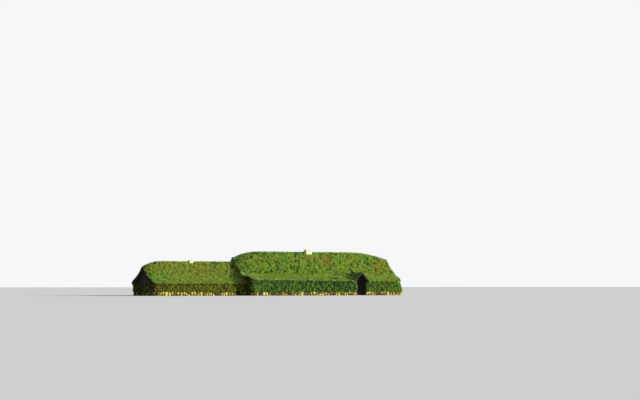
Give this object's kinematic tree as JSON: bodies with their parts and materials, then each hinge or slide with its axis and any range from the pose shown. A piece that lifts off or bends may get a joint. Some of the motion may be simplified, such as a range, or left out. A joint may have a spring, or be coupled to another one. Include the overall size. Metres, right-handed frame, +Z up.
{
  "type": "turf longhouse",
  "caption": "Long low turf farmhouse: a hall and a lower living room in line, with thick turf walls on stone, a grass roof on timber, smoke vents and a small gabled entrance.",
  "frame": {"origin": "on the ground under the middle of the whole house", "axes": "+X along the ridge from the living room to the hall, -Y the front with the door, +Z up"},
  "size_m": [33.35, 9.5, 5.66],
  "materials": {
    "turf_roof": "rough grass turf",
    "turf_wall": "rough grown-over turf",
    "turf_wall_dry": "rough dry turf",
    "footing_stone": "rough field stones",
    "timber_inside": "hewn and darkened",
    "timber_weathered": "weathered grey",
    "timber_tarred": "tarred",
    "timber_pale": "bleached pale",
    "iron": "blackened wrought iron"
  },
  "bodies": {
    "house": {"cross_wall": "turf_wall", "cross_wall_lintel": "timber_inside", "door_pintles": "iron", "end_footings": "footing_stone", "hall_end_wall": "turf_wall", "hall_front_wall": "turf_wall", "hall_gable_boards": "timber_tarred", "hall_posts": "timber_inside", "hall_purlins": "timber_inside", "hall_rafters_front": "timber_inside", "hall_rafters_rear": "timber_inside", "hall_rear_wall": "turf_wall", "hall_roof_boards_front": "timber_inside", "hall_roof_boards_rear": "timber_inside", "hall_roof_turf_front": "turf_roof", "hall_roof_turf_rear": "turf_roof", "hall_side_footings": "footing_stone", "hall_tie_beams": "timber_inside", "hall_vent_curb": "timber_pale", "hall_vent_lid": "timber_pale", "hall_wall_plates": "timber_inside", "porch_barge_boards": "timber_weathered", "porch_ceiling": "timber_weathered", "porch_gable_boards": "timber_weathered", "porch_linings": "timber_weathered", "porch_lintel": "timber_weathered", "porch_posts": "timber_weathered", "porch_roof_boards": "timber_weathered", "porch_roof_turf": "turf_roof", "porch_sill": "timber_weathered", "room_collar_beams": "timber_inside", "room_end_wall": "turf_wall_dry", "room_front_wall": "turf_wall_dry", "room_gable_boards": "timber_tarred", "room_posts": "timber_inside", "room_rafters_front": "timber_inside", "room_rafters_rear": "timber_inside", "room_rear_wall": "turf_wall_dry", "room_roof_boards_front": "timber_inside", "room_roof_boards_rear": "timber_inside", "room_roof_turf_front": "turf_roof", "room_roof_turf_rear": "turf_roof", "room_side_footings": "footing_stone", "room_vent_curb": "timber_pale", "room_vent_lid": "timber_pale", "room_wall_plates": "timber_inside"},
    "door": {"door_boards": "timber_tarred", "door_ledges": "timber_tarred", "door_straps": "iron", "door_pull": "timber_tarred"}
  },
  "joints": [
    {"name": "door_hinge", "type": "hinge", "parent": "house", "child": "door", "pos_m": [10.13317, -3.919, 0.9], "axis": [0, 0, 1], "range_deg": [0, 88]}
  ]
}
